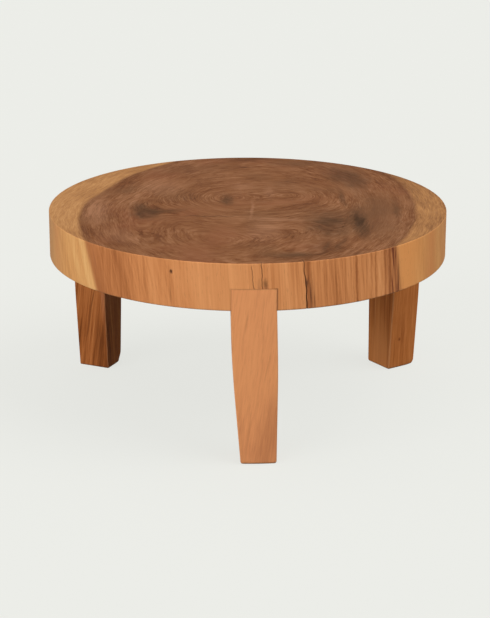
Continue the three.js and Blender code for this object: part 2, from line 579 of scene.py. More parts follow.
@dataclass(frozen=True)
class SlabWood:
    """The slab's finish: heartwood with sapwood at two sides, oiled satin.

    The trunk's rings are read in plan. The top and the underside cut across them and show brown
    end grain. The rim runs along them, so it is lighter and its rings are upright streaks.
    """

    heart_centre: tuple[float, float] = (3 * MM, -27 * MM)
    heart_half: tuple[float, float] = (335.5 * MM, 524 * MM)
    heart_turn: float = math.radians(-5)
    heart_lean: Fade = (-200 * MM, 200 * MM, 0.16, 0.08)
    heart_waves: Waves = (11.0, 14 * MM, 3.0)
    flat_backs: tuple[Fade, Fade] = ((0.0, 150 * MM, 0.0, 0.05), (220 * MM, 380 * MM, 0.0, 0.04))
    flat_side: Fade = (-50 * MM, -200 * MM)
    heart_line_sides: tuple[Fade, Fade] = ((0.94, 0.99), (1.01, 0.99))
    grain_lean: float = 0.06
    calm: Fade = (0.2, 0.7, 1.0, 0.12)
    swirl: Waves = (4.4, 36 * MM, 1.0)
    ripple: Waves = (20.0, 9 * MM)
    forked_to_oval: Fade = (0.35, 0.75)
    piths: tuple[Pith, ...] = (
        Pith(-35, 65, 18, 1.0),
        Pith(85, 85, 30, 1.0),
        Pith(85, -340, 70, 0.45),
    )
    roughness: float = 0.66
    end_grain_lean: Fade = (0.62, 0.8)
    band_shares: Fade = (0.5, 0.75, 0.65, 0.9)
    figure_shares: Fade = (-0.14, 0.14, 0.6, 1.35)
    patch_shares: Fade = (-0.08, 0.14)
    grey_shares: Fade = (0.0, 0.22, 0.0, 0.4)
    red_shares: Fade = (-0.02, -0.2, 0.0, 0.3)
    spot_waves: Waves = (30.0, 20 * MM, 3.0)
    top_line_share: float = 0.18
    top_sap_edge: Fade = (0.98, 1.015)
    top_sap_sides: Fade = (200 * MM, 320 * MM, 0.06, -0.22)
    top_sap_back: Fade = (0.0, 250 * MM, 0.0, -0.14)
    lively_sides: tuple[Fade, Fade] = ((4.0, 22.0, 0.0, 0.4), (-4.0, -22.0, 0.0, 0.1))
    rim_line_shares: Fade = (-30.0, 30.0, 0.25, 0.6)
    rim_sap_edge: Fade = (0.988, 1.01)
    rim_sap_depth: Fade = (1.0, 1.12, 0.18, -0.06)
    top_tones: tuple[Stop, ...] = (
        (0.0, (74, 37, 14)),
        (0.3, (106, 61, 31)),
        (0.5, (127, 81, 49)),
        (0.72, (143, 97, 65)),
        (1.0, (160, 114, 82)),
    )
    grey_heart: Colour = (118, 81, 52)
    red_heart: Colour = (134, 78, 50)
    dark_spot: Colour = (60, 38, 20)
    dull_spot: Colour = (108, 71, 45)
    pale_spot: Colour = (168, 120, 88)
    heart_edge: Colour = (92, 58, 34)
    top_sap_tones: tuple[Stop, ...] = (
        (0.0, (130, 86, 50)),
        (0.5, (169, 119, 72)),
        (1.0, (194, 145, 94)),
    )
    rim_tones: tuple[Stop, ...] = (
        (0.0, (126, 72, 42)),
        (0.25, (166, 102, 59)),
        (0.5, (199, 130, 79)),
        (0.75, (218, 150, 96)),
        (1.0, (230, 170, 116)),
    )
    rim_heart_edge: Colour = (114, 60, 40)
    rim_sap_tones: tuple[Stop, ...] = (
        (0.0, (170, 110, 64)),
        (0.5, (208, 150, 92)),
        (1.0, (228, 180, 118)),
    )
    # Paler eased edges: some real wear and a painted highlight along the arrises.
    rubbed_and_highlit: Colour = (226, 170, 120)
    rubbed_and_highlight_share: float = 0.08
    # Colour of the stains, the pores and the painted shade in the checks and the joints.
    stain_and_shade: Colour = (72, 44, 34)
    pore_share: float = 0.3
    calm_azimuth: float = -12.0
    dark_spots: tuple[Spot, ...] = (
        Spot(-200, -56, 46, 70, -8, 0.68),
        Spot(-218, -10, 26, 60, 4, 0.5),
        Spot(-247, 128, 16, 85, -6, 0.22),
        Spot(-160, -40, 70, 24, 14, 0.35),
        Spot(221, -120, 25, 160, 2, 0.75),
        Spot(194, 60, 12, 90, 3, 0.5),
        Spot(300, -40, 12, 110, 0, 0.35),
        Spot(162, -130, 72, 145, 0, 0.62),
        Spot(205, 240, 58, 140, 14, 0.55),
        Spot(232, 190, 40, 130, 0, 0.3),
        Spot(150, -290, 60, 70, 0, 0.28),
        Spot(88, -345, 85, 34, 0, 0.5),
        Spot(110, 345, 90, 45, 0, 0.35),
        Spot(0, 390, 200, 42, 0, 0.2),
        Spot(-41, 46, 22, 60, 0, 0.6),
        Spot(-75, -77, 80, 4, 0, 0.8),
        Spot(150, -290, 10, 60, -12, 0.4),
        Spot(178, -270, 10, 70, -16, 0.4),
    )
    pale_spots: tuple[Spot, ...] = (
        Spot(10, -28, 6, 95, -2, 0.36),
        Spot(60, -100, 110, 20, -6, 0.35),
        Spot(-175, 150, 70, 90, 0, 0.3),
        Spot(-10, 150, 40, 36, 0, 0.3),
        Spot(35, -185, 55, 110, 0, 0.32),
        Spot(45, 110, 18, 70, 0, 0.3),
        Spot(-300, -40, 40, 150, 4, 0.4),
        Spot(-245, -220, 50, 80, 30, 0.25),
    )
    dull_spots: tuple[Spot, ...] = (
        Spot(-275, -70, 60, 160, 6, 0.1),
        Spot(260, -60, 70, 230, 0, 0.6),
        Spot(-120, 300, 160, 70, 20, 0.35),
    )
    rim_bands: tuple[RimBand, ...] = (
        RimBand(-41, 14, -0.2),
        RimBand(-12.5, 12, 0.18),
        RimBand(9, 6, 0.08),
        RimBand(27, 14, -0.02),
        RimBand(-3, 9, 0.14),
        RimBand(16.2, 1.4, -0.3),
        RimBand(-29, 1.2, -0.08),
        RimBand(24.2, 0.7, -0.1),
        RimBand(28, 2.0, 0.08),
        RimBand(30.4, 0.6, -0.26),
        RimBand(35.2, 0.6, -0.15),
        RimBand(38.5, 4, 0.1),
        RimBand(36.8, 0.6, -0.24),
        RimBand(40.2, 0.7, -0.26),
        RimBand(42, 0.7, -0.28),
    )
    sap_bands: tuple[SapBand, ...] = (
        # The first band's colour is partly painted light: raised to make up for the weaker light on the
        # rim's right side.
        SapBand(49, 16, 0.8, (226, 150, 86)),
        SapBand(63, 6, 0.6, (204, 132, 80)),
        SapBand(84, 22, 0.7, (186, 126, 78)),
        SapBand(-84, 26, 0.8, (168, 124, 84)),
        SapBand(-69, 4, 0.3, (196, 130, 84)),
    )
    rim_marks: tuple[RimMark, ...] = (
        RimMark(-21.0, 0.75, 4.2, 6.5, 1.0),
        RimMark(-21.6, 0.25, 2.5, 34, 0.3),
        RimMark(4.4, 0.55, 7, 18, 0.6),
        RimMark(2.6, 0.45, 5, 30, 0.25),
        RimMark(16.5, 0.25, 2.5, 36, 0.75),
        RimMark(16.0, 0.6, 2, 26, 0.35),
        RimMark(17.5, 0.15, 2, 28, 0.5),
        RimMark(15.5, 0.55, 4, 12, 0.8),
        RimMark(17.0, 0.3, 9, 60, 0.2),
        RimMark(45.4, 0.35, 4, 60, 0.4),
    )

    def material(self, legs: Sequence["Leg"], checks: Sequence["Check"]) -> bpy.types.Material:
        """Builds the slab's material.

        Args:
            legs: The legs, whose joints leave a dark line in the slab, staining with painted shade.
            checks: The drying checks, which are darkened by staining and painted shade.

        Returns:
            The material.
        """
        paint = Paint("slab wood")
        trunk = self._trunk_place(paint)
        facing = paint.node("TexCoord", {}, "Normal")
        _, _, up = paint.split(facing)
        across = paint.fade(abs(up), *self.end_grain_lean)
        rim, top = (self._cut_colour(paint, trunk, cut) for cut in (Cut.LONG_GRAIN, Cut.END_GRAIN))
        colour = paint.mix(across, rim, top)
        normal = paint.join(paint.distance(facing * IN_PLAN), 0.0, up)
        # Paler eased edges: wear with a painted highlight.
        colour = paint.on_eased_edges(colour, normal, self.rubbed_and_highlit, self.rubbed_and_highlight_share)
        pores = paint.use(
            Effect.PORES, Position=trunk.upright, Scale=520.0, Stretch=0.06, Size=0.2
        )["Mask"]
        colour = paint.tint(colour, self.stain_and_shade, pores * self.pore_share)
        for mark in self.rim_marks:
            centre = (math.radians(mark.azimuth), 0, mark.height_share)
            spread = (mark.half_width * MM / RIM_RADIUS, 1, mark.half_height * MM / THICKNESS)
            mask = paint.spot(paint.place(trunk.rim, centre, 0, spread), ragged=0.8)
            colour = paint.tint(colour, self.stain_and_shade, mask * mark.strength * (1.0 - across))
        # The checks and the joints darken the slab: painted shade in the crack and the gap, with some
        # staining.
        for shaded_and_stained in (*checks, *legs):
            colour = shaded_and_stained.add_stain_and_shade(paint, colour, self.stain_and_shade)
        polish = self.roughness + trunk.rings["Lines"] * 0.25 + pores * 0.15
        return paint.dress(colour, polish, trunk.fibre["Height"] * 0.5 + pores * -0.6)

    def _trunk_place(self, paint: Paint) -> TrunkPlace:
        """Reads where a point lies in the trunk.

        The heartwood's edge is a leaning ellipse. The rings follow it near the edge, and further
        in they close round the piths of the forked trunk, with a swirl.

        Args:
            paint: The slab's material.

        Returns:
            The place in the trunk.
        """
        px, _, height = paint.split(paint.position)
        depth = height - SLAB_HIGH.z
        upright = paint.position + paint.join(depth * self.grain_lean)
        flat = upright * (1, 1, 0.05)
        x, y, _ = paint.split(upright)
        angle = paint.math("ARCTAN2", x, y * -1.0)
        level = paint.math("DIVIDE", height - SLAB_LOW.z, THICKNESS)

        lean = paint.fade(px, *self.heart_lean)
        further = paint.join(depth * (lean - self.grain_lean))
        rough_edge = flat + further + paint.wander(flat, *self.heart_waves)
        heart = (*self.heart_centre, 0), self.heart_turn, (*self.heart_half, 1)
        in_heart = paint.place(rough_edge, *heart)
        px, py, _ = paint.split(rough_edge)
        flatter, flattest = (paint.fade(py, *back) for back in self.flat_backs)
        flattened = (flatter + flattest) * paint.fade(px, *self.flat_side)
        heart_reach = paint.distance(in_heart * IN_PLAN) + flattened
        inner, outer = (paint.fade(heart_reach, *side) for side in self.heart_line_sides)

        calm = paint.fade(heart_reach, *self.calm)
        swirl = paint.wander(flat, *self.swirl) * calm
        stirred = flat + swirl + paint.wander(flat, *self.ripple) * calm
        plan = stirred * IN_PLAN
        product: Wire = 1.0
        for pith in self.piths:
            away = paint.distance(plan, metres(pith.x, pith.y, pith.blur))
            product = product * paint.math("POWER", away, pith.weight)
        forked = paint.math("POWER", product, 1 / sum(pith.weight for pith in self.piths))
        oval = heart_reach * self.heart_half[0]
        radius = paint.blend(paint.fade(heart_reach, *self.forked_to_oval), forked, oval)
        return TrunkPlace(
            upright=upright,
            plan=flat,
            stirred=stirred,
            azimuth=paint.math("DEGREES", angle) + paint.tone(paint.position, scale=55.0, detail=3.0),
            rim=paint.join(angle, 0.0, level),
            heart_reach=heart_reach,
            heart_line=inner * outer,
            rings=paint.use(Effect.RINGS, Radius=radius, Place=plan, Height=height),
            fibre=paint.use(Effect.FIBRE, Position=upright, Scale=260.0, Stretch=0.012),
        )

    def _cut_colour(self, paint: Paint, trunk: TrunkPlace, cut: Cut) -> Value:
        """Builds the colour of heartwood and sapwood on one kind of surface.

        Args:
            paint: The slab's material.
            trunk: The place in the trunk.
            cut: The kind of surface.

        Returns:
            The colour.
        """
        rings, reach = trunk.rings, trunk.heart_reach
        if cut is Cut.END_GRAIN:
            heart = self._heart_end_grain(paint, trunk)
            heart = paint.tint(heart, self.heart_edge, trunk.heart_line * self.top_line_share)
            x, y, _ = paint.split(trunk.plan)
            tone = 0.5 + paint.fade(x, *self.top_sap_sides) + paint.fade(y, *self.top_sap_back)
            patches = paint.tone(trunk.plan, scale=9.0, detail=3.0)
            tone = tone + rings["Lines"] + rings["Fine"] * 1.2 + patches * 0.8
            sap = paint.ramp(tone, self.top_sap_tones)
            return paint.mix(paint.fade(reach, *self.top_sap_edge), heart, sap)
        heart = self._heart_long_grain(paint, trunk)
        streaky = 1.0 + rings["Fine"] * 6.0 + trunk.fibre["Tone"] * 6.0
        line = trunk.heart_line * paint.fade(trunk.azimuth, *self.rim_line_shares)
        heart = paint.tint(heart, self.rim_heart_edge, line * streaky)
        tone = 0.5 + paint.fade(reach, *self.rim_sap_depth) + rings["Lines"]
        sap = paint.ramp(tone + trunk.fibre["Tone"] * 0.7, self.rim_sap_tones)
        for band in self.sap_bands:
            sap = paint.tint(sap, band.colour, self._in_band(paint, trunk, band))
        return paint.mix(paint.fade(reach, *self.rim_sap_edge), heart, sap)

    @staticmethod
    def _in_band(paint: Paint, trunk: TrunkPlace, band: RimBand) -> Value:
        """Returns an upright band's tone, which fades out towards its sides."""
        return paint.fade(abs(trunk.azimuth - band.azimuth), band.half_width, 0.0, 0.0, band.tone)

    def _heart_end_grain(self, paint: Paint, trunk: TrunkPlace) -> Value:
        """Builds the heartwood on the top and the underside.

        Args:
            paint: The slab's material.
            trunk: The place in the trunk.

        Returns:
            The colour.
        """
        bands, lines, fine = trunk.rings["Bands"], trunk.rings["Lines"], trunk.rings["Fine"]
        banded = paint.fade(trunk.heart_reach, *self.band_shares)
        figured = paint.fade(paint.tone(trunk.plan, scale=8.0), *self.figure_shares)
        tone = 0.5 + bands * banded + (lines * 0.68 + fine) * figured
        patchy = paint.fade(paint.tone(trunk.plan, scale=13.0), *self.patch_shares)
        for ring, half_width, dark in ((lines, 0.03, -0.28), (fine, 0.04, -0.13)):
            tone = tone + paint.fade(abs(ring), half_width, 0.0) * patchy * dark
        hue = paint.tone(trunk.stirred, scale=6.0)
        colour = paint.ramp(tone, self.top_tones)
        colour = paint.tint(colour, self.grey_heart, paint.fade(hue, *self.grey_shares))
        colour = paint.tint(colour, self.red_heart, paint.fade(hue, *self.red_shares))
        ragged = trunk.plan + paint.wander(trunk.plan, *self.spot_waves)
        grained = 1.0 + lines * 2.0
        for spots, tint in (
            (self.dull_spots, self.dull_spot),
            (self.pale_spots, self.pale_spot),
            (self.dark_spots, self.dark_spot),
        ):
            for spot in spots:
                centre, half = metres(spot.x, spot.y, 0), (*metres(spot.half_x, spot.half_y), 1)
                place = paint.place(ragged, centre, math.radians(spot.turn), half)
                mask = paint.spot(place, ragged=0.7)
                colour = paint.tint(colour, tint, mask * spot.strength * grained)
        return colour

    def _heart_long_grain(self, paint: Paint, trunk: TrunkPlace) -> Value:
        """Builds the heartwood on the rim.

        Args:
            paint: The slab's material.
            trunk: The place in the trunk.

        Returns:
            The colour.
        """
        off_calm = trunk.azimuth - self.calm_azimuth
        right, left = (paint.fade(off_calm, *side) for side in self.lively_sides)
        lively = 0.6 + right + left
        streaks = trunk.rings["Lines"] * 0.66 + trunk.rings["Fine"] * 0.42
        streaks = streaks + trunk.fibre["Tone"] * 0.7
        tone = 0.5 + trunk.rings["Bands"] * 0.46 + streaks * lively
        for band in self.rim_bands:
            tone = tone + self._in_band(paint, trunk, band)
        return paint.ramp(tone, self.rim_tones)


@dataclass(frozen=True)
class LegMark:
    """A streak, patch or knot in a leg's own axes, or painted shade or highlight on a face, in mm and
    radians, dark unless it has a tint.
    """

    centre: tuple[float, float, float]
    half: tuple[float, float, float]
    strength: float
    tilt: tuple[float, float] = (0.0, 0.0)
    tint: Optional[Colour] = None


@dataclass(frozen=True)
class LegWood:
    """A leg's finish: straight-grained wood, oiled satin.

    The leg is sawn beside the middle of a trunk, so the rings run down its faces as streaks.
    """

    name: str
    pith: tuple[float, float]
    slant: tuple[float, float]
    streaks: float
    tones: tuple[Stop, ...]
    # Paler eased edges: some real wear and a painted highlight along the corners.
    rubbed_and_highlit: Colour
    rubbed_and_highlight_share: float
    marks: tuple[LegMark, ...]
    # How much darker the leg grows from the knee to the floor: painted shade.
    foot_shade: float = 0.0
    fibres: float = 0.6
    fibre_stretch: float = 0.025
    waves: Waves = (12.0, 20 * MM, 3.0)
    end_grain_shares: Fade = (0.6, 0.85, 0.0, 0.8)
    # Darker over the foot's lowest few mm.
    dark_foot_edge: Fade = (4.5 * MM, 0.5 * MM, 0.0, 0.55)
    roughness: float = 0.62
    end_grain: Colour = (112, 70, 42)
    # Colour of the pores, the darker foot edge and the joint's staining and painted shade.
    stain_and_shade: Colour = (66, 40, 28)
    pore_share: float = 0.18

    def material(self, leg: "Leg") -> bpy.types.Material:
        """Builds the leg's material.

        Args:
            leg: The leg, whose own axes the grain follows.

        Returns:
            The material.
        """
        paint = Paint(self.name)
        standing = paint.place(paint.position, (*leg.centre, 0), leg.heading)
        x, y, z = paint.split(standing)
        grain = paint.join(x + z * self.slant[0], y + z * self.slant[1], z)
        flat = grain * (1, 1, 0.12)
        plan = (flat + paint.wander(flat, *self.waves)) * IN_PLAN - (*self.pith, 0)
        rings = paint.use(Effect.RINGS, Radius=paint.distance(plan), Place=plan, Height=z)
        fibre = paint.use(Effect.FIBRE, Position=grain, Scale=320.0, Stretch=self.fibre_stretch)
        pores = paint.use(Effect.PORES, Position=grain, Scale=480.0, Stretch=0.05, Size=0.2)["Mask"]
        tone = 0.5 + rings["Bands"] * (0.7 * self.streaks) + rings["Lines"] * (0.9 * self.streaks)
        tone = tone + rings["Fine"] * (0.5 * self.streaks) + fibre["Tone"] * self.fibres
        # Darker from the knee down to the floor: painted shade.
        tone = tone + paint.fade(z, leg.knee_height, 0.0, 0.0, self.foot_shade)
        colour = paint.ramp(tone, self.tones)
        normal = paint.place(paint.node("TexCoord", {}, "Normal"), turn=leg.heading)
        _, _, up = paint.split(normal)
        colour = paint.tint(colour, self.end_grain, paint.fade(abs(up), *self.end_grain_shares))
        for mark in self.marks:
            place = paint.place(standing, metres(*mark.centre), 0.0, metres(*mark.half), mark.tilt)
            mask = paint.spot(place, ragged=0.5)
            colour = paint.tint(colour, mark.tint or self.tones[0][1], mask * mark.strength)
        # Paler eased edges: wear with a painted highlight.
        colour = paint.on_eased_edges(colour, normal, self.rubbed_and_highlit, self.rubbed_and_highlight_share)
        colour = paint.tint(colour, self.stain_and_shade, pores * self.pore_share)
        # Darker over the foot's lowest few mm.
        colour = paint.tint(colour, self.stain_and_shade, paint.fade(z, *self.dark_foot_edge))
        colour = leg.add_stain_and_shade(paint, colour, self.stain_and_shade)
        polish = self.roughness + rings["Lines"] * 0.25
        return paint.dress(colour, polish, fibre["Height"] * 0.5 + pores * -0.6)


@dataclass(frozen=True)
class DowelWood:
    """The dowels' finish: plain pale hardwood, unfinished."""

    tones: tuple[Stop, ...] = (
        (0.0, (186, 152, 106)),
        (0.5, (218, 190, 146)),
        (1.0, (234, 212, 174)),
    )
    roughness: float = 0.7

    def material(self) -> bpy.types.Material:
        """Builds the dowels' material.

        Returns:
            The material.
        """
        paint = Paint("dowel wood")
        fibre = paint.use(Effect.FIBRE, Position=paint.position, Scale=900.0, Stretch=0.03)
        pores = paint.use(
            Effect.PORES, Position=paint.position, Scale=1500.0, Stretch=0.1, Size=0.2
        )["Mask"]
        tone = 0.5 + fibre["Tone"] * 1.2 + pores * -0.25
        polish = self.roughness + fibre["Tone"] * 0.2
        colour = paint.ramp(tone, self.tones)
        return paint.dress(colour, polish, fibre["Height"], strength=0.3, depth=0.1 * MM)


def sliced_box(low: Vector, high: Vector, cuts: Sequence[Sequence[float]]) -> Shape:
    """Makes a box and slices it across its axes, so that it can be shaped.

    Args:
        low: The lowest corner.
        high: The highest corner.
        cuts: The places of the slices along X, Y and Z.

    Returns:
        The box.
    """
    shape = bmesh.new()
    bmesh.ops.create_cube(shape, size=1)
    bmesh.ops.scale(shape, vec=high - low, verts=shape.verts)
    bmesh.ops.translate(shape, vec=(low + high) / 2, verts=shape.verts)
    for axis, places in enumerate(cuts):
        across = Vector((0, 0, 0))
        across[axis] = 1
        for place in places:
            parts = [*shape.verts, *shape.edges, *shape.faces]
            bmesh.ops.bisect_plane(shape, geom=parts, plane_co=across * place, plane_no=across)
    return shape


def upright_cone(segments: int, bottom: float, top: float, height: float) -> Shape:
    """Makes a closed cone or cylinder round the Z axis, with its middle at the origin.

    Args:
        segments: The number of its sides.
        bottom: The radius at its lower end.
        top: The radius at its upper end.
        height: Its height.

    Returns:
        The shape.
    """
    shape = bmesh.new()
    bmesh.ops.create_cone(
        shape, cap_ends=True, segments=segments, radius1=bottom, radius2=top, depth=height
    )
    return shape


def round_off(shape: Shape, edges: list[bmesh.types.BMEdge], width: float, segments: int) -> None:
    """Rounds edges of a shape that is still being made.

    Args:
        shape: The shape.
        edges: The edges.
        width: The round's width.
        segments: The facets across it.
    """
    bmesh.ops.bevel(
        shape, geom=edges, offset=width, segments=segments, profile=0.5, affect="EDGES", material=-1
    )


def even_steps(start: float, end: float, count: int) -> list[float]:
    """Returns the count places that part a length into equal steps, without its ends."""
    return [start + (end - start) * (i + 1) / (count + 1) for i in range(count)]


def to_object(name: str, shape: Shape) -> Piece:
    """Turns a finished shape into an object at the origin.

    Args:
        name: The object's name.
        shape: The shape, which is used up.

    Returns:
        The object.
    """
    bmesh.ops.remove_doubles(shape, verts=shape.verts, dist=MERGE_DISTANCE)
    bmesh.ops.recalc_face_normals(shape, faces=shape.faces)
    mesh = bpy.data.meshes.new(name)
    shape.to_mesh(mesh)
    shape.free()
    piece = bpy.data.objects.new(name, mesh)
    bpy.context.scene.collection.objects.link(piece)
    return piece


def settle(piece: Piece) -> None:
    """Makes the result of a piece's modifiers its mesh.

    Args:
        piece: The piece.
    """
    evaluated = piece.evaluated_get(bpy.context.evaluated_depsgraph_get())
    shaped = bpy.data.meshes.new_from_object(evaluated)
    rough = piece.data
    piece.modifiers.clear()
    piece.data = shaped
    bpy.data.meshes.remove(rough)


def carve(piece: Piece, cutters: Sequence[Shape]) -> None:
    """Cuts shapes out of a piece.

    Args:
        piece: The piece.
        cutters: The closed shapes, which don't touch each other and are used up.
    """
    for number, shape in enumerate(cutters):
        cutter = to_object(f"cutter_{number}", shape)
        cut = piece.modifiers.new("cut", "BOOLEAN")
        cut.operation = "DIFFERENCE"
        cut.solver = "EXACT"
        cut.object = cutter
        settle(piece)
        mesh = cutter.data
        bpy.data.objects.remove(cutter)
        bpy.data.meshes.remove(mesh)


def ease_edges(piece: Piece, width: float, segments: int, by_weight: bool) -> None:
    """Rounds a piece's edges.

    Args:
        piece: The piece.
        width: The round's width, or the widest where the edges have weights.
        segments: The facets across it.
        by_weight: Whether the edges' weights share out the width, or every sharp edge gets it.
    """
    bevel = piece.modifiers.new("ease", "BEVEL")
    bevel.width = width
    bevel.segments = segments
    bevel.limit_method = "WEIGHT" if by_weight else "ANGLE"
    bevel.angle_limit = SHARP_EDGE
    bevel.profile = 0.5
    bevel.harden_normals = False
    settle(piece)


def finish_piece(piece: Piece, material: bpy.types.Material, node: str) -> None:
    """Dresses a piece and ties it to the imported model.

    Args:
        piece: The piece.
        material: Its material.
        node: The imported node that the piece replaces.
    """
    piece.data.materials.clear()
    piece.data.materials.append(material)
    piece.data.shade_smooth()
    piece.modifiers.new("even shading", "WEIGHTED_NORMAL").weight = 100
    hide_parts(node)
    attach(piece, ROOT)
    bpy.context.view_layer.update()
    low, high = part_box(node)
    lowest, highest = Vector(piece.bound_box[0]), Vector(piece.bound_box[6])
    off = max(abs(step) for step in (*(lowest - low), *(highest - high)))
    faces = len(piece.data.polygons)
    log.info("%s: %d faces, at most %.2f mm off the packed node's box", piece.name, faces, off / MM)


@dataclass
class Leg:
    """A square leg, tapered below the knee, whose outer face is dressed to the slab's rim.

    Its own axes stand at its middle, its outer face towards -Y. Its turn is in degrees.
    """

    node: str
    wood: LegWood
    azimuth: float
    width: float
    depth: float
    left_taper: float
    right_taper: float
    turn: float = 0.0
    lean: float = 0.0
    worn_corners: tuple[tuple[float, float], ...] = ()
    wear: float = 3.5 * MM
    wear_height: float = 14 * MM
    wear_fall: int = 8
    joint_clearance: float = 0.15 * MM
    knee_height: float = 186 * MM
    knee_blend: float = 45 * MM
    outer_taper: float = 3 * MM
    widest_round: float = 12 * MM
    foot_round: float = 5 * MM
    outer_round: float = 2.5 * MM
    edge_round: float = 3 * MM
    round_waves: tuple[float, float, float] = (7, 7, 25)
    round_change: float = 0.4
    joint_round: float = 0.3 * MM
    # The joint's dark line: glue and dust staining with painted shade in the gap.
    joint_stain_and_shade_width: float = 3.0 * MM
    joint_stain_and_shade_over: float = 60 * MM
    joint_stain_and_shade_start: Fade = (-0.5 * MM, 0.5 * MM)
    joint_stain_and_shade_shares: tuple[float, float] = (0.12, 0.45)
    dowel_bore: float = 6.3 * MM
    dowel_room: float = 0.9 * MM

    def __post_init__(self) -> None:
        """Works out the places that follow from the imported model."""
        self.underside = SLAB_LOW.z
        self.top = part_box(self.node)[1].z
        away = RIM_RADIUS - self.depth / 2
        angle = math.radians(self.azimuth)
        self.centre = (away * math.sin(angle), -away * math.cos(angle))
        self.heading = math.radians(self.azimuth + self.turn)

    def standing(self) -> Matrix:
        """Returns the matrix from the leg's own axes to the table's."""
        return Matrix.Translation((*self.centre, 0)) @ Matrix.Rotation(self.heading, 4, "Z")

    def drawn_in(self, taper: float, height: float) -> float:
        """Works out how far a face is drawn in.

        Args:
            taper: How far it is drawn in at the floor.
            height: The height above the floor.

        Returns:
            The distance, none above the knee, even below it and a parabola between the two.
        """
        below = self.knee_height - height
        if below <= -self.knee_blend:
            return 0.0
        if below >= self.knee_blend:
            return taper * below / self.knee_height
        return taper * (below + self.knee_blend) ** 2 / (4 * self.knee_blend * self.knee_height)

    def leaned_over(self, height: float) -> float:
        """Returns how far the leg has moved to its right at a height, by its lean."""
        return self.lean * max(0.0, self.underside - height) / self.underside

    def outer_face(self, x: float, height: float) -> float:
        """Works out where the outer face lies, on the rim carried down and drawn in.

        Args:
            x: The place across the leg.
            height: The height above the floor.

        Returns:
            The face's Y in the leg's own axes.
        """
        radius = RIM_RADIUS - self.drawn_in(self.outer_taper, height)
        across = Vector((math.cos(self.heading), math.sin(self.heading)))
        inward = Vector((-math.sin(self.heading), math.cos(self.heading)))
        start = Vector(self.centre) + across * x
        along = start.dot(inward)
        return -along - math.sqrt(along**2 - start.length_squared + radius**2)

    def blank(self) -> Shape:
        """Shapes the leg, with the weights of its edges' rounds.

        Returns:
            The shape in the leg's own axes.
        """
        foot, under = self.foot_round, self.underside
        knee_start, knee_end = self.knee_height - self.knee_blend, self.knee_height + self.knee_blend
        heights = [knee_start, knee_end, under - 2 * self.edge_round, under]
        for start, end, count in (
            (foot, knee_start, 6),
            (knee_start, knee_end, 14),
            (knee_end, under, 4),
            (foot, self.wear_height, 3),
        ):
            heights += even_steps(start, end, count)
        cuts = even_steps(0, 1, 9), even_steps(0, 1, 3), sorted(heights)
        shape = sliced_box(Vector((0, 0, 0)), Vector((1, 1, self.top)), cuts)
        weights = shape.edges.layers.float.new("bevel_weight_edge")
        for edge in shape.edges:
            edge[weights] = self.edge_weight(*(vert.co for vert in edge.verts))
        for vert in shape.verts:
            across, back, height = vert.co
            left = -self.width / 2 + self.drawn_in(self.left_taper, height)
            right = self.width / 2 - self.drawn_in(self.right_taper, height)
            x = left + (right - left) * across + self.leaned_over(height)
            outer = self.outer_face(x, height)
            y = outer + (self.depth / 2 - outer) * back
            worn = self.wear * self.worn_away(across, back, height)
            vert.co.x = x - math.copysign(worn, x)
            vert.co.y = y - math.copysign(worn, y)
        return shape

    def worn_away(self, across: float, back: float, height: float) -> float:
        """Works out how much of the wear a place at the foot has.

        Args:
            across: Its share of the width.
            back: Its share of the depth.
            height: Its height above the floor.

        Returns:
            The share, from 0 to 1.
        """
        low = max(0.0, 1 - height / self.wear_height) ** 2
        near = (
            ((1 - abs(across - side)) * (1 - abs(back - end))) ** self.wear_fall
            for side, end in self.worn_corners
        )
        return low * sum(near)

    def edge_weight(self, start: Vector, end: Vector) -> float:
        """Works out how much of the widest round an edge gets.

        Args:
            start: One end of the edge, with shares of the width and the depth as X and Y.
            end: The other end.

        Returns:
            The share, from 0 to 1.
        """
        sides = sum(
            all(abs(end_point[axis] - limit) < MM for end_point in (start, end))
            for axis in (0, 1)
            for limit in (0, 1)
        )
        height = (start.z + end.z) / 2
        if sides == 2 and height <= self.underside - 2 * self.edge_round:
            place = Vector((start.x, start.y, height)) * Vector(self.round_waves)
            worn = 1 + self.round_change * noise.noise(place)
            return worn * (self.edge_round if start.y > 0.5 else self.outer_round) / self.widest_round
        if sides == 1 and max(start.z, end.z) < MM:
            return self.foot_round / self.widest_round
        if sides == 2 or (sides == 1 and min(start.z, end.z) > self.top - MM):
            return self.joint_round / self.widest_round
        return 0.0

    def bores(self) -> list[Shape]:
        """Makes what is cut out of the leg and the slab for the two dowels.

        Returns:
            The two bores, where they stand in the table.
        """
        shapes = []
        for side in SIDES:
            low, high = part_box(f"{self.node}_dowel_{side}")
            height = high.z - low.z + 2 * self.dowel_room
            shape = upright_cone(32, self.dowel_bore, self.dowel_bore, height)
            bmesh.ops.translate(shape, vec=(low + high) / 2, verts=shape.verts)
            shapes.append(shape)
        return shapes

    def housing(self) -> Shape:
        """Makes what is cut out of the slab for the leg.

        Returns:
            The leg's section with its clearance, where it stands in the table.
        """
        over = 10 * MM
        gap = self.joint_clearance
        half = self.width / 2 + gap
        low = Vector((-half, -self.depth / 2 - over, self.underside - over))
        high = Vector((half, self.depth / 2 + gap, self.top + gap))
        shape = sliced_box(low, high, ())
        inner = [
            edge
            for edge in shape.edges
            if all(vert.co.y > 0 for vert in edge.verts)
            and abs(edge.verts[0].co.z - edge.verts[1].co.z) > MM
        ]
        round_off(shape, inner, self.joint_round + gap, 3)
        bmesh.ops.transform(shape, matrix=self.standing(), verts=shape.verts)
        return shape

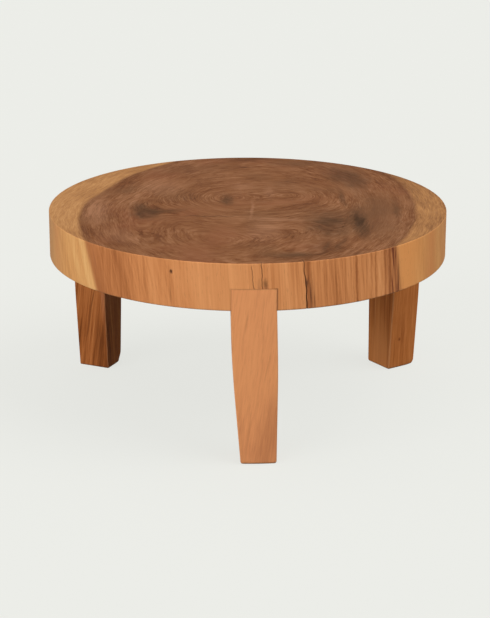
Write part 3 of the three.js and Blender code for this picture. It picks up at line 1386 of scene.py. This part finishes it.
    def add_stain_and_shade(self, paint: Paint, colour: Wire, stain_and_shade: Colour) -> Value:
        """Darkens a thin line along the joint: glue and dust staining with painted shade in the gap,
        deeper on the leg's right side.

        Args:
            paint: The material.
            colour: The wood's colour.
            stain_and_shade: The line's colour.

        Returns:
            The colour with its line.
        """
        over = self.joint_stain_and_shade_over
        middle = self.standing() @ Vector((0, -over / 2, self.underside))
        place = paint.place(paint.position, middle, self.heading)
        half = (self.width / 2, (self.depth + over) / 2, self.top - self.underside)
        width = self.joint_stain_and_shade_width
        line = paint.use(Effect.JOINT_LINE, Position=place, Half_Size=half, Width=width)["Mask"]
        across, _, up = paint.split(place)
        in_slab = paint.fade(up, *self.joint_stain_and_shade_start)
        # Stronger on the leg's right side, where the painted shade of the gap is deeper.
        start, end = self.width * 0.4, self.width * 0.5
        share = paint.fade(across, start, end, *self.joint_stain_and_shade_shares)
        return paint.tint(colour, stain_and_shade, line * in_slab * share)

    def build(self) -> None:
        """Makes and dresses the leg."""
        shape = self.blank()
        bmesh.ops.transform(shape, matrix=self.standing(), verts=shape.verts)
        piece = to_object(f"{self.node}_dressed", shape)
        ease_edges(piece, self.widest_round, 5, by_weight=True)
        carve(piece, self.bores())
        finish_piece(piece, self.wood.material(self), self.node)


@dataclass
class Check:
    """A drying check in the rim, an upright crack with ragged sides and a dark line along it, painted
    shade in the crack with some staining.
    """

    azimuth_top: float
    azimuth_bottom: float
    width_top: float
    width_bottom: float
    depth: float
    ragged: float
    top: float
    bottom: float
    seed: int
    # How dark the check's line is: painted shade in the crack with some staining.
    shaded_and_stained: float
    bends: float = 9.0
    waves: float = 110.0
    width_change: float = 0.6
    depth_change: float = 0.4
    inner_share: float = 0.2
    facet: float = 3 * MM
    overrun: float = 2 * MM
    stain_and_shade_margin: float = 0.9 * MM

    def swing(self, down: Wire, sine: Callable[[Wire], Wire]) -> Wire:
        """Works out how far round the rim the check has gone from its top.

        Args:
            down: How far down the check it is read, from 0 to 1.
            sine: Works out a sine of what down is, a number or an output.

        Returns:
            The distance.
        """
        straight = math.radians(self.azimuth_bottom - self.azimuth_top) * RIM_RADIUS
        slow = sine(down * self.bends + self.seed)
        fast = sine(down * (2.7 * self.bends) + 2 * self.seed)
        return down * straight + (slow + fast * 0.5) * self.ragged

    def blade(self) -> Shape:
        """Makes what the check takes out of the slab.

        Returns:
            The blade, where it stands in the table.
        """
        steps = max(8, round((self.top - self.bottom) / self.facet))
        low = Vector((-0.5, -RIM_RADIUS - self.overrun, self.bottom))
        high = Vector((0.5, -RIM_RADIUS + self.depth, self.top))
        shape = sliced_box(low, high, ((), (), even_steps(self.bottom, self.top, steps)))
        for vert in shape.verts:
            down = (self.top - vert.co.z) / (self.top - self.bottom)
            there = Vector((self.seed, 0, vert.co.z * self.waves))
            width = self.width_top + (self.width_bottom - self.width_top) * down
            width *= 1 + self.width_change * noise.noise(there)
            inner = vert.co.y > -RIM_RADIUS
            vert.co.x *= width * (self.inner_share if inner else 1.0)
            vert.co.x += self.swing(down, math.sin)
            if inner:
                vert.co.y -= self.depth * self.depth_change * abs(noise.noise(there * 1.7))
        turn = Matrix.Rotation(math.radians(self.azimuth_top), 4, "Z")
        bmesh.ops.transform(shape, matrix=turn, verts=shape.verts)
        return shape

    def add_stain_and_shade(self, paint: Paint, colour: Wire, stain_and_shade: Colour) -> Value:
        """Darkens the wood along the check: painted shade in the crack, with some staining at its sides.

        Args:
            paint: The slab's material.
            colour: The wood's colour.
            stain_and_shade: The colour of the staining and the painted shade.

        Returns:
            The colour with the staining and the painted shade.
        """
        x, y, z = paint.split(paint.position)
        off_top = paint.math("ARCTAN2", x, y * -1.0) - math.radians(self.azimuth_top)
        down = paint.math("DIVIDE", self.top - z, self.top - self.bottom)
        off = off_top * RIM_RADIUS - self.swing(down, lambda value: paint.math("SINE", value))
        half = down * ((self.width_bottom - self.width_top) / 2) + self.width_top / 2
        # Darkest inside the crack: painted shade there, fading just past its sides.
        line = paint.fade(abs(off), half + self.stain_and_shade_margin, half * 0.7)
        inside = paint.fade(down, -0.05, 0.02) * paint.fade(down, 1.05, 0.98)
        start, end = RIM_RADIUS - 2 * self.depth, RIM_RADIUS - self.depth
        outside = paint.fade(paint.distance(paint.position * IN_PLAN), start, end)
        return paint.tint(colour, stain_and_shade, line * inside * outside * self.shaded_and_stained)


@dataclass
class Slab:
    """The round slab, with its eased rim, the legs' housings, the dowels' bores and its checks."""

    wood: SlabWood
    legs: Sequence[Leg]
    rim_segments: int = 256
    top_round: float = 2 * MM
    under_round: float = 3 * MM
    housing_round: float = 0.2 * MM
    hole_azimuth: float = -21.0
    hole_height_share: float = 0.75
    hole_half_width: float = 1.6 * MM
    hole_half_height: float = 2.6 * MM
    hole_depth: float = 9 * MM

    def disc(self) -> Shape:
        """Shapes the disc with its eased rim.

        Returns:
            The shape, where it stands in the table.
        """
        shape = upright_cone(self.rim_segments, RIM_RADIUS, RIM_RADIUS, THICKNESS)
        middle = (SLAB_LOW.z + SLAB_HIGH.z) / 2
        bmesh.ops.translate(shape, vec=(0, 0, middle), verts=shape.verts)
        for height, width, segments in (
            (SLAB_HIGH.z, self.top_round, 6),
            (SLAB_LOW.z, self.under_round, 4),
        ):
            ring = [
                edge
                for edge in shape.edges
                if all(abs(vert.co.z - height) < 0.1 * MM for vert in edge.verts)
            ]
            round_off(shape, ring, width, segments)
        return shape

    def checks(self) -> list[Check]:
        """Lists the drying checks in the rim.

        Returns:
            The one to the right of the front leg's joint, then the two above the joint.
        """
        notch = self.legs[0].top + 0.2 * MM
        top, under = SLAB_HIGH.z + MM, SLAB_LOW.z - MM
        fine = 0.5 * MM
        return [
            Check(15.0, 16.2, 0.9 * MM, 2.4 * MM, 9 * MM, 0.8 * MM, top, under, 3, 0.8),
            Check(1.0, 1.6, 0.4 * MM, 0.8 * MM, 4 * MM, fine, SLAB_HIGH.z - 6 * MM, notch, 11, 0.5),
            Check(3.6, 3.9, 0.8 * MM, 1.0 * MM, 5 * MM, fine, top, notch, 23, 0.65),
        ]

    def worm_hole(self) -> Shape:
        """Makes what the small hole in the rim takes out.

        Returns:
            The hole's shape, where it stands in the table.
        """
        shape = upright_cone(16, 1.0, 0.7, 2 * self.hole_depth)
        section = (self.hole_half_width, self.hole_half_height, 1)
        bmesh.ops.scale(shape, vec=section, verts=shape.verts)
        height = SLAB_LOW.z + THICKNESS * self.hole_height_share
        place = (
            Matrix.Rotation(math.radians(self.hole_azimuth), 4, "Z")
            @ Matrix.Translation((0, -RIM_RADIUS, height))
            @ Matrix.Rotation(math.radians(-90), 4, "X")
        )
        bmesh.ops.transform(shape, matrix=place, verts=shape.verts)
        return shape

    def build(self) -> None:
        """Makes and dresses the slab."""
        piece = to_object("slab_dressed", self.disc())
        carve(piece, [leg.housing() for leg in self.legs])
        ease_edges(piece, self.housing_round, 2, by_weight=False)
        carve(piece, [bore for leg in self.legs for bore in leg.bores()])
        carve(piece, [*(check.blade() for check in self.checks()), self.worm_hole()])
        finish_piece(piece, self.wood.material(self.legs, self.checks()), SLAB_NODE)


@dataclass(frozen=True)
class Screen:
    """A soft light from one side, by degrees from the front and above the floor."""

    name: str
    azimuth: float
    elevation: float
    size: float
    strength: float

    def build(self) -> None:
        """Makes the light."""
        lamp = bpy.data.lights.new(self.name, "SUN")
        lamp.energy = self.strength
        lamp.angle = math.radians(self.size)
        screen = bpy.data.objects.new(self.name, lamp)
        a, e = math.radians(self.azimuth), math.radians(self.elevation)
        towards = Vector((math.sin(a) * math.cos(e), -math.cos(a) * math.cos(e), math.sin(e)))
        screen.rotation_euler = towards.to_track_quat("Z", "Y").to_euler()
        bpy.context.scene.collection.objects.link(screen)


@dataclass
class Studio:
    """The pale floor, the soft light and the camera."""

    backdrop: Colour = (236, 237, 232)
    floor_half: float = 12.0
    floor_drop: float = 0.1 * MM
    floor_share: float = 0.13
    floor_light: float = 1.13
    floor_bounce: float = 0.12
    fill: float = 0.62
    screens: tuple[Screen, ...] = (
        Screen("key", -45.0, 13.0, 50.0, 2.3),
        Screen("side", 70.0, 46.0, 50.0, 1.5),
    )
    image_height: int = 618
    focal_pixels: float = 2100.0
    sensor: float = 36.0
    camera_place: tuple[float, float, float] = (-0.0051, -4.093, 1.5278)
    camera_pitch: float = math.radians(18.22)
    camera_roll: float = 0.0014

    def build(self) -> None:
        """Makes the floor, the lights and the camera."""
        self._floor()
        self._world()
        for screen in self.screens:
            screen.build()
        self._camera()
        bpy.context.scene.view_settings.view_transform = "Standard"

    def _floor(self) -> None:
        """Makes the floor, which looks evenly pale and lights the table from below a little less."""
        shape = bmesh.new()
        bmesh.ops.create_grid(shape, x_segments=4, y_segments=4, size=self.floor_half)
        bmesh.ops.translate(shape, vec=(0, 0, -self.floor_drop), verts=shape.verts)
        floor = to_object("floor", shape)
        paint = Paint("studio floor")
        seen = self._seen_by_camera(paint)
        pale = linear(self.backdrop)
        dim, lit, glow = (
            (*(channel * share for channel in pale[:3]), 1.0)
            for share in (
                self.floor_bounce / pale[0],
                self.floor_share,
                1 - self.floor_share * self.floor_light,
            )
        )
        for name, value in (
            ("Base Color", paint.mix(seen, dim, lit)),
            ("Emission Color", paint.mix(seen, (0, 0, 0, 1), glow)),
            ("Emission Strength", 1.0),
            ("Roughness", 1.0),
            ("Specular IOR Level", 0.0),
        ):
            paint.feed(paint.shader.inputs[name], value)
        floor.data.materials.append(paint.material)

    @staticmethod
    def _seen_by_camera(graph: Graph) -> Value:
        """Reads whether the camera sees a place, directly, in a gloss or through glass.

        Args:
            graph: The material or world that asks.

        Returns:
            1 where it does, otherwise 0.
        """
        rays = graph.node("LightPath", {}).siblings()
        seen = graph.math("MAXIMUM", rays["Is Camera Ray"], rays["Is Glossy Ray"])
        return graph.math("MAXIMUM", seen, rays["Is Transmission Ray"])

    def _world(self) -> None:
        """Makes the even light all round, behind which the camera sees the backdrop."""
        world = bpy.data.worlds.new("studio")
        world.use_nodes = True
        bpy.context.scene.world = world
        graph = Graph(world.node_tree)
        background = next(node for node in world.node_tree.nodes if node.type == "BACKGROUND")
        light = (self.fill, self.fill, self.fill, 1.0)
        sky = graph.mix(self._seen_by_camera(graph), light, linear(self.backdrop))
        graph.feed(background.inputs["Color"], sky)

    def _camera(self) -> None:
        """Makes the camera at the photograph's place and angle of view."""
        lens = bpy.data.cameras.new("camera")
        lens.sensor_width = self.sensor
        lens.lens = self.sensor * self.focal_pixels / self.image_height
        lens.clip_end = 100
        camera = bpy.data.objects.new("camera", lens)
        turn = Euler((math.pi / 2 - self.camera_pitch, 0, 0)).to_matrix()
        turn = turn @ Matrix.Rotation(self.camera_roll, 3, "Z")
        camera.rotation_euler = turn.to_euler()
        camera.location = self.camera_place
        bpy.context.scene.collection.objects.link(camera)
        bpy.context.scene.camera = camera


def dress_dowels(legs: Sequence[Leg]) -> None:
    """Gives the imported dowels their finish.

    Args:
        legs: The legs that hold them.
    """
    material = DowelWood().material()
    for leg in legs:
        for side in SIDES:
            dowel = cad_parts[f"{leg.node}_dowel_{side}"]
            dowel.material_slots[0].material = material
            log.info("%s: dressed", dowel.name)


FRONT_LEG_WOOD = LegWood(
    "front leg wood",
    pith=(-120 * MM, 200 * MM),
    slant=(-0.12, 0.0),
    streaks=0.24,
    tones=(
        (0.0, (150, 90, 58)),
        (0.28, (190, 122, 80)),
        (0.5, (215, 144, 93)),
        (0.72, (223, 153, 101)),
        (1.0, (230, 168, 118)),
    ),
    rubbed_and_highlit=(232, 186, 140),
    rubbed_and_highlight_share=0.1,
    marks=(
        LegMark((32, -36, 60), (30, 200, 190), 0.34, (0.0, 0.26)),
        LegMark((-14, -36, 285), (3, 60, 34), 0.3, (0.0, 0.14)),
        LegMark((16, -36, 300), (2, 60, 40), 0.22, (0.0, 0.1)),
        LegMark((24, -36, 190), (2, 60, 46), 0.25, (0.0, 0.22)),
        LegMark((-10, -36, 60), (4, 60, 60), 0.2, (0.0, 0.1)),
    ),
    foot_shade=-0.1,
    fibres=0.45,
    fibre_stretch=0.07,
)
LEFT_LEG_WOOD = LegWood(
    "left leg wood",
    pith=(90 * MM, 60 * MM),
    slant=(0.0, -0.18),
    streaks=1.5,
    tones=(
        (0.0, (92, 47, 20)),
        (0.28, (134, 74, 34)),
        (0.5, (166, 97, 50)),
        (0.72, (179, 111, 61)),
        (1.0, (204, 136, 82)),
    ),
    # A strong painted highlight along the rounded corners, with some wear.
    rubbed_and_highlit=(190, 128, 88),
    rubbed_and_highlight_share=0.5,
    marks=(
        LegMark((40, 12, 250), (60, 2.5, 60), 0.7, (-0.25, 0.0)),
        LegMark((40, 4, 150), (60, 3, 70), 0.6, (-0.26, 0.0)),
        LegMark((40, -8, 90), (60, 3, 60), 0.6, (-0.22, 0.0)),
        LegMark((40, 20, 60), (60, 3, 60), 0.5, (-0.2, 0.0)),
        LegMark((40, 18, 50), (60, 18, 110), 0.4),
        # Darkens the whole inner face: painted shade under the slab.
        LegMark((-10, 37, 150), (70, 4, 300), 0.3),
        # A paler strip by the corner of the front and inner faces: a painted highlight where light falls
        # round the corner.
        LegMark((40, 31, 240), (60, 12, 190), 0.75, tint=(172, 110, 74)),
    ),
    foot_shade=-0.12,
)
RIGHT_LEG_WOOD = LegWood(
    "right leg wood",
    pith=(-80 * MM, -90 * MM),
    slant=(0.0, 0.02),
    streaks=0.9,
    tones=(
        (0.0, (124, 66, 30)),
        (0.28, (159, 90, 44)),
        (0.5, (181, 108, 55)),
        (0.72, (195, 121, 66)),
        (1.0, (212, 144, 86)),
    ),
    rubbed_and_highlit=(216, 156, 108),
    rubbed_and_highlight_share=0.35,
    marks=(
        LegMark((-36, 13, 66), (9, 5, 6), 0.85),
        LegMark((-36, 10, 90), (14, 18, 60), 0.12),
        LegMark((-14, 38, 150), (3.5, 30, 150), 0.5),
        LegMark((12, 38, 235), (3, 30, 70), 0.5),
        LegMark((-26, 38, 50), (2.5, 30, 90), 0.6),
        LegMark((30, 38, 210), (3, 30, 60), 0.4),
        LegMark((18, 38, 140), (4, 30, 90), 0.45, tint=(206, 138, 84)),
        LegMark((-30, 38, 170), (2.5, 30, 200), 0.5),
        LegMark((0, 38, 200), (3, 30, 120), 0.3),
        LegMark((22, 38, 120), (3, 30, 120), 0.25),
        LegMark((0, 38, 30), (60, 12, 120), 0.45, tint=(206, 138, 84)),
    ),
)


def main() -> None:
    """Builds the table and the studio."""
    logging.basicConfig(level=logging.INFO, format="%(name)s %(message)s")
    SharedEffects()
    legs = [
        Leg(
            "front_leg",
            FRONT_LEG_WOOD,
            azimuth=1.7,
            width=86 * MM,
            depth=72 * MM,
            left_taper=11 * MM,
            right_taper=6.5 * MM,
            lean=7.3 * MM,
        ),
        Leg(
            "left_leg",
            LEFT_LEG_WOOD,
            azimuth=-119.6,
            width=80 * MM,
            depth=70 * MM,
            left_taper=9.5 * MM,
            right_taper=11.5 * MM,
            turn=5,
            worn_corners=((0, 1),),
            wear=6 * MM,
            wear_height=24 * MM,
            edge_round=8.5 * MM,
        ),
        Leg(
            "right_leg",
            RIGHT_LEG_WOOD,
            azimuth=119.7,
            width=88 * MM,
            depth=75 * MM,
            left_taper=13.5 * MM,
            right_taper=2.5 * MM,
            turn=5,
            worn_corners=((0, 0),),
            edge_round=4 * MM,
        ),
    ]
    Slab(SlabWood(), legs).build()
    for leg in legs:
        leg.build()
    dress_dowels(legs)
    Studio().build()


if __name__ == "__main__":
    main()
